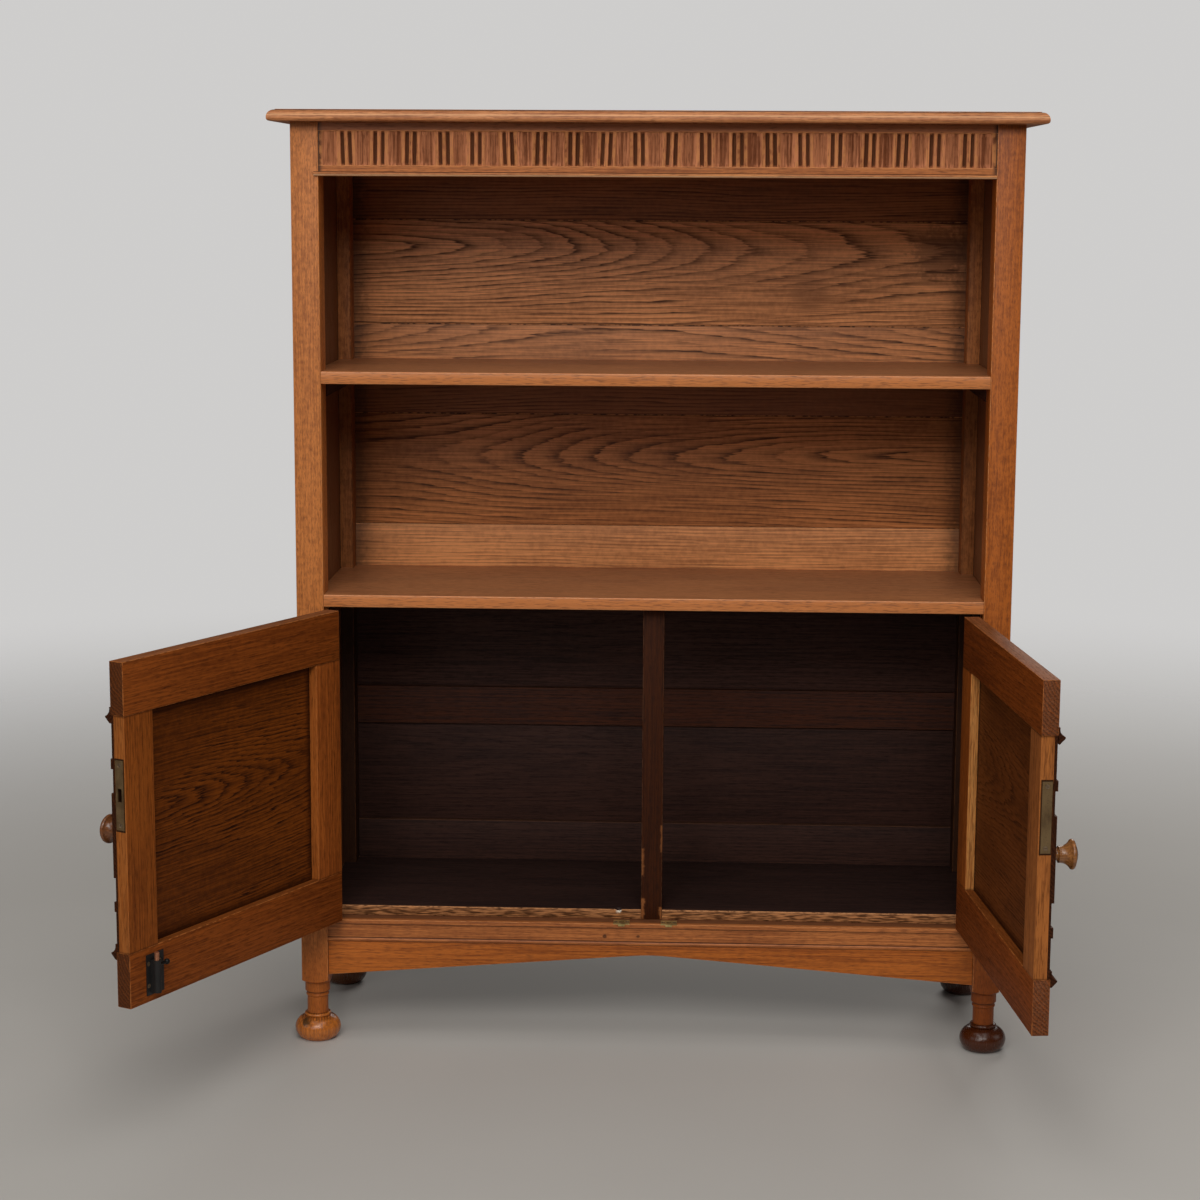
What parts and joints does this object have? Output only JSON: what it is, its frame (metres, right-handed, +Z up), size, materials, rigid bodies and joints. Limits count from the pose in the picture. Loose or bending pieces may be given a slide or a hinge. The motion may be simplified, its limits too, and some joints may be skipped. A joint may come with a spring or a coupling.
{
  "type": "bookcase",
  "caption": "Free-standing oak bookcase: open shelves over a cupboard with framed doors, carved frieze, moulded top, shaped apron and turned bun feet.",
  "frame": {"origin": "on the floor, under the middle of the case's width and depth (posts, without the doors and top overhang)", "axes": "+Z up, front towards -Y, +X to the right of someone facing the front"},
  "size_m": [1.062, 0.6788, 1.146],
  "materials": {
    "polished_oak": "waxed golden-brown oak with worn arrises",
    "dark_oak": "darker unpolished oak of the inside",
    "aged_brass": "tarnished brass",
    "black_iron": "black japanned iron",
    "coppered_steel": "coppered rod",
    "steel_screws": "dulled screws"
  },
  "bodies": {
    "case": {"top_board": "polished_oak", "frieze_rail": "polished_oak", "frieze_lip": "polished_oak", "front_left_post": "polished_oak", "front_right_post": "polished_oak", "rear_left_post": "polished_oak", "rear_right_post": "polished_oak", "bun_feet": "polished_oak", "left_side_panel": "polished_oak", "right_side_panel": "polished_oak", "side_top_rails": "polished_oak", "side_bottom_rails": "polished_oak", "upper_shelf": "polished_oak", "lower_shelf": "polished_oak", "shelf_bearers": "dark_oak", "cupboard_floor": "dark_oak", "centre_muntin": "polished_oak", "bottom_rail": "polished_oak", "apron": "polished_oak", "back_top_board": "dark_oak", "back_upper_board": "dark_oak", "back_middle_board": "dark_oak", "back_lower_board": "dark_oak", "back_shelf_rail": "dark_oak", "cupboard_back_upper_board": "dark_oak", "cupboard_back_rail": "dark_oak", "cupboard_back_lower_board": "dark_oak", "cupboard_back_base_rail": "dark_oak", "hinge_post_leaves": "aged_brass", "hinge_pins": "aged_brass", "strike_plates": "aged_brass", "case_screws": "steel_screws"},
    "left_door": {"left_door_top_rail": "polished_oak", "left_door_bottom_rail": "polished_oak", "left_hinge_stile": "polished_oak", "left_meeting_stile": "polished_oak", "left_door_panel": "polished_oak", "left_door_mouldings": "polished_oak", "left_door_knob": "polished_oak", "left_hinge_leaves": "aged_brass", "left_catch_barrel": "aged_brass", "left_door_screws": "steel_screws", "keeper_plate": "aged_brass", "bolt_housing": "black_iron"},
    "right_door": {"right_door_top_rail": "polished_oak", "right_door_bottom_rail": "polished_oak", "right_hinge_stile": "polished_oak", "right_meeting_stile": "polished_oak", "right_door_panel": "polished_oak", "right_door_mouldings": "polished_oak", "right_door_knob": "polished_oak", "right_hinge_leaves": "aged_brass", "right_catch_barrel": "aged_brass", "right_door_screws": "steel_screws", "lock_case": "aged_brass", "escutcheon": "aged_brass"},
    "door_bolt": {"door_bolt": "coppered_steel"},
    "lock_bolt": {"lock_bolt": "aged_brass"},
    "left_catch": {"left_catch_bullet": "aged_brass"},
    "right_catch": {"right_catch_bullet": "aged_brass"}
  },
  "joints": [
    {"name": "left_door_hinge", "type": "hinge", "parent": "case", "child": "left_door", "pos_m": [-0.399, -0.1393, 0.3556], "axis": [0, 0, -1], "range_deg": [-117.5, 32.5]},
    {"name": "right_door_hinge", "type": "hinge", "parent": "case", "child": "right_door", "pos_m": [0.399, -0.1393, 0.3556], "axis": [0, 0, 1], "range_deg": [-96, 54]},
    {"name": "door_bolt_slide", "type": "slide", "parent": "left_door", "child": "door_bolt", "axis": [0, 0, -1], "range_m": [0, 0.028]},
    {"name": "lock_bolt_slide", "type": "slide", "parent": "right_door", "child": "lock_bolt", "axis": [0.1045, -0.9945, 0], "range_m": [0, 0.008]},
    {"name": "left_catch_slide", "type": "slide", "parent": "left_door", "child": "left_catch", "axis": [0, 0, -1], "range_m": [0, 0.002]},
    {"name": "right_catch_slide", "type": "slide", "parent": "right_door", "child": "right_catch", "axis": [0, 0, -1], "range_m": [0, 0.002]}
  ]
}
